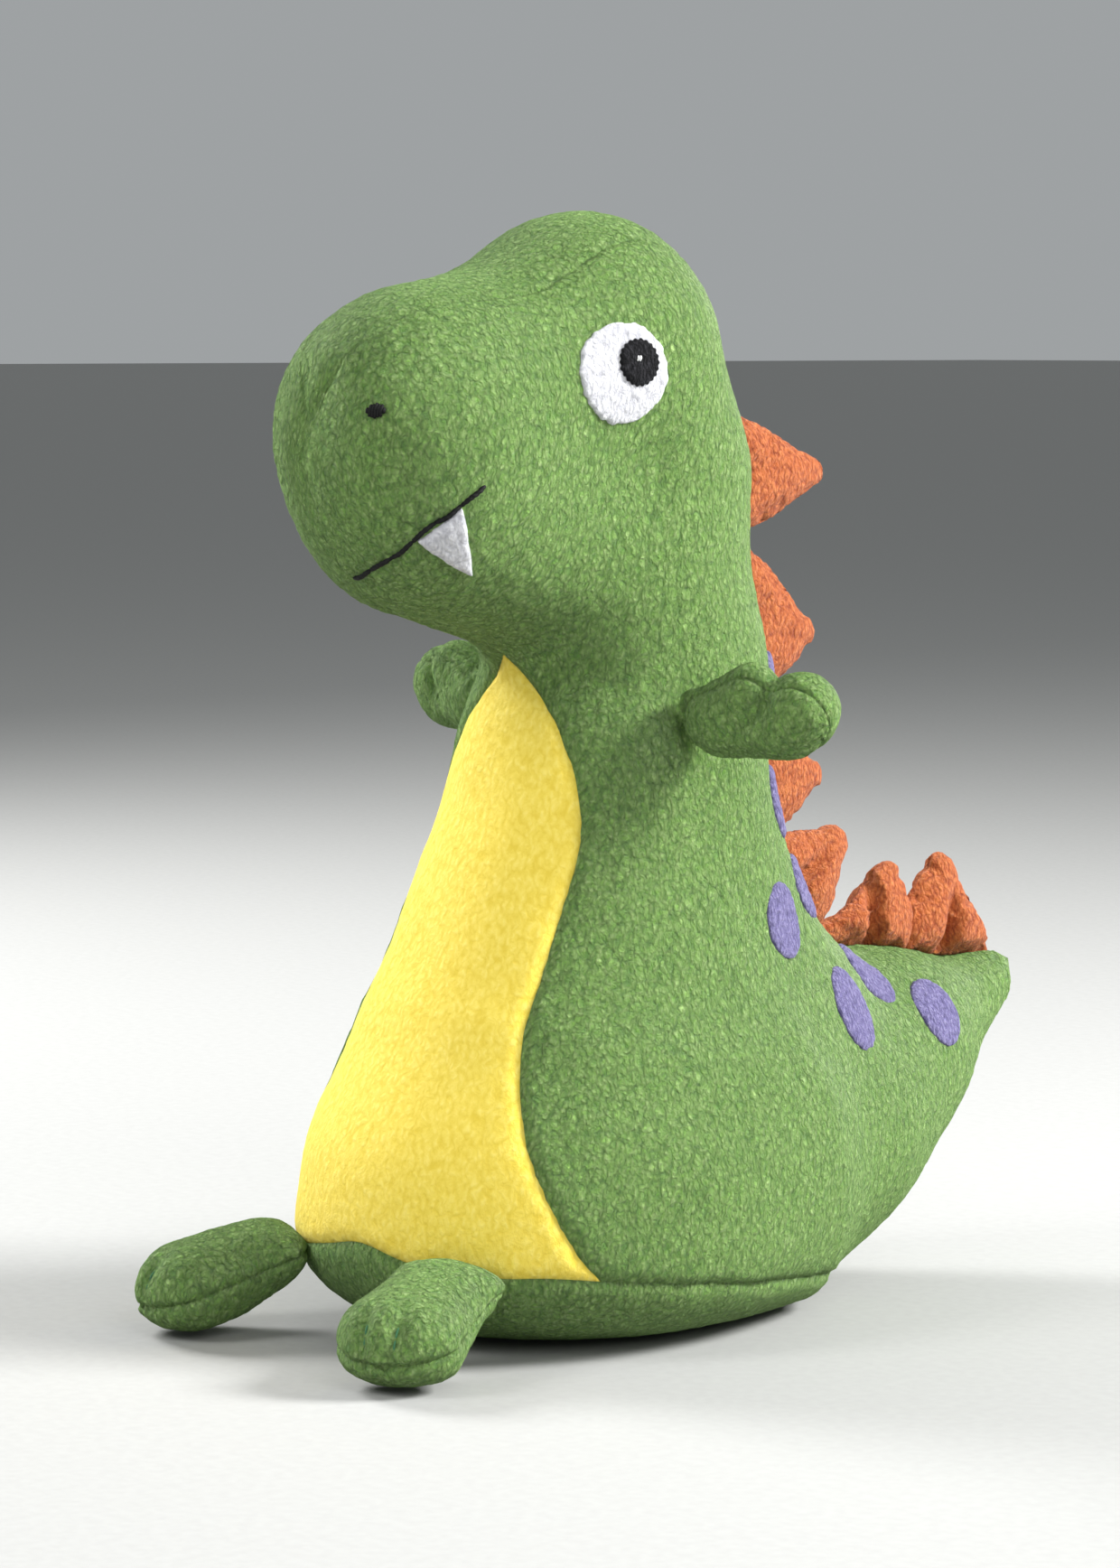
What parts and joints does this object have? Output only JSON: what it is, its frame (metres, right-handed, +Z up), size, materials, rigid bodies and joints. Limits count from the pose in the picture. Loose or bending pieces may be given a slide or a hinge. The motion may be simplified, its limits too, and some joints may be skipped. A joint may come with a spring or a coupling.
{
  "type": "stuffed toy dinosaur",
  "caption": "Soft fleece dinosaur toy that sits upright on a stuffed base, with a rounded snout, short arms, flat feet, a thick tail, a contrasting belly and soft spikes down its back.",
  "frame": {"origin": "on the surface that the toy rests on, on the flat patch under the seat and in the left-right middle plane, below the neck", "axes": "+Z up, -Y towards the nose and the feet, +Y towards the tail, +X towards the toy's own left side"},
  "size_m": [0.1612, 0.2734, 0.2914],
  "materials": {
    "green_fleece": "matte brushed fleece",
    "yellow_fleece": "matte smooth fleece",
    "orange_fleece": "matte fleece",
    "purple_fleece": "matte fleece",
    "white_felt": "matte felt",
    "black_felt": "matte felt",
    "black_thread": "slightly shiny embroidery thread",
    "white_thread": "slightly shiny embroidery thread",
    "green_thread": "slightly shiny sewing thread",
    "fibre_stuffing": "loose white polyester fibre"
  },
  "bodies": {
    "body": {"base_panel": "green_fleece", "belly_panel": "yellow_fleece", "head_gusset": "green_fleece", "left_side_panel": "green_fleece", "right_side_panel": "green_fleece", "body_stuffing": "fibre_stuffing", "left_eye": "white_felt", "left_pupil": "black_felt", "left_eye_highlight": "white_thread", "left_nostril": "black_thread", "right_eye": "white_felt", "right_pupil": "black_felt", "right_eye_highlight": "white_thread", "right_nostril": "black_thread", "left_tooth": "white_felt", "mouth_stitch": "black_thread", "left_spot_1": "purple_fleece", "left_spot_2": "purple_fleece", "left_spot_3": "purple_fleece", "left_spot_4": "purple_fleece", "left_spot_5": "purple_fleece", "left_spot_6": "purple_fleece", "left_spot_7": "purple_fleece", "right_spot_1": "purple_fleece", "right_spot_2": "purple_fleece", "right_spot_3": "purple_fleece", "right_spot_4": "purple_fleece", "right_spot_5": "purple_fleece", "right_spot_6": "purple_fleece", "right_spot_7": "purple_fleece"},
    "left_arm": {"left_arm_front_panel": "green_fleece", "left_arm_back_panel": "green_fleece", "left_arm_stuffing": "fibre_stuffing"},
    "right_arm": {"right_arm_front_panel": "green_fleece", "right_arm_back_panel": "green_fleece", "right_arm_stuffing": "fibre_stuffing"},
    "left_foot": {"left_foot_top_panel": "green_fleece", "left_foot_sole_panel": "green_fleece", "left_foot_stuffing": "fibre_stuffing", "left_toe_stitch_1": "green_thread", "left_toe_stitch_2": "green_thread"},
    "right_foot": {"right_foot_top_panel": "green_fleece", "right_foot_sole_panel": "green_fleece", "right_foot_stuffing": "fibre_stuffing", "right_toe_stitch_1": "green_thread", "right_toe_stitch_2": "green_thread"},
    "spike_1": {"left_spike_1_layer": "orange_fleece", "right_spike_1_layer": "orange_fleece"},
    "spike_2": {"left_spike_2_layer": "orange_fleece", "right_spike_2_layer": "orange_fleece"},
    "spike_3": {"left_spike_3_layer": "orange_fleece", "right_spike_3_layer": "orange_fleece"},
    "spike_4": {"left_spike_4_layer": "orange_fleece", "right_spike_4_layer": "orange_fleece"},
    "spike_5": {"left_spike_5_layer": "orange_fleece", "right_spike_5_layer": "orange_fleece"},
    "spike_6": {"left_spike_6_layer": "orange_fleece", "right_spike_6_layer": "orange_fleece"}
  },
  "joints": [
    {"name": "left_arm_swing", "type": "hinge", "parent": "body", "child": "left_arm", "pos_m": [0.0387, 0.003, 0.1615], "axis": [0, 0, 1], "range_deg": [-45, 12], "stiffness_Nm_per_rad": 0.05},
    {"name": "right_arm_swing", "type": "hinge", "parent": "body", "child": "right_arm", "pos_m": [-0.0387, 0.003, 0.1615], "axis": [0, 0, -1], "range_deg": [-45, 12], "stiffness_Nm_per_rad": 0.05},
    {"name": "left_foot_lift", "type": "hinge", "parent": "body", "child": "left_foot", "pos_m": [0.0328, -0.0675, 0.022], "axis": [-0.9135, -0.4067, 0], "range_deg": [0, 20], "stiffness_Nm_per_rad": 0.03},
    {"name": "right_foot_lift", "type": "hinge", "parent": "body", "child": "right_foot", "pos_m": [-0.0328, -0.0675, 0.022], "axis": [-0.9135, 0.4067, 0], "range_deg": [0, 20], "stiffness_Nm_per_rad": 0.03},
    {"name": "spike_1_flop", "type": "hinge", "parent": "body", "child": "spike_1", "pos_m": [0, 0.04862, 0.22487], "axis": [0, 0.1432, -0.9897], "range_deg": [-15, 15], "stiffness_Nm_per_rad": 0.02},
    {"name": "spike_2_flop", "type": "hinge", "parent": "body", "child": "spike_2", "pos_m": [0, 0.05381, 0.18678], "axis": [0, 0.1352, -0.9908], "range_deg": [-15, 15], "stiffness_Nm_per_rad": 0.02},
    {"name": "spike_3_flop", "type": "hinge", "parent": "body", "child": "spike_3", "pos_m": [0, 0.05939, 0.14611], "axis": [0, 0.1434, -0.9897], "range_deg": [-15, 15], "stiffness_Nm_per_rad": 0.02},
    {"name": "spike_4_flop", "type": "hinge", "parent": "body", "child": "spike_4", "pos_m": [0, 0.07279, 0.11117], "axis": [0, 0.5935, -0.8048], "range_deg": [-15, 15], "stiffness_Nm_per_rad": 0.02},
    {"name": "spike_5_flop", "type": "hinge", "parent": "body", "child": "spike_5", "pos_m": [0, 0.10009, 0.09236], "axis": [0, 0.9658, -0.2592], "range_deg": [-15, 15], "stiffness_Nm_per_rad": 0.02},
    {"name": "spike_6_flop", "type": "hinge", "parent": "body", "child": "spike_6", "pos_m": [0, 0.13654, 0.08653], "axis": [0, 0.9992, -0.0403], "range_deg": [-15, 15], "stiffness_Nm_per_rad": 0.02}
  ]
}
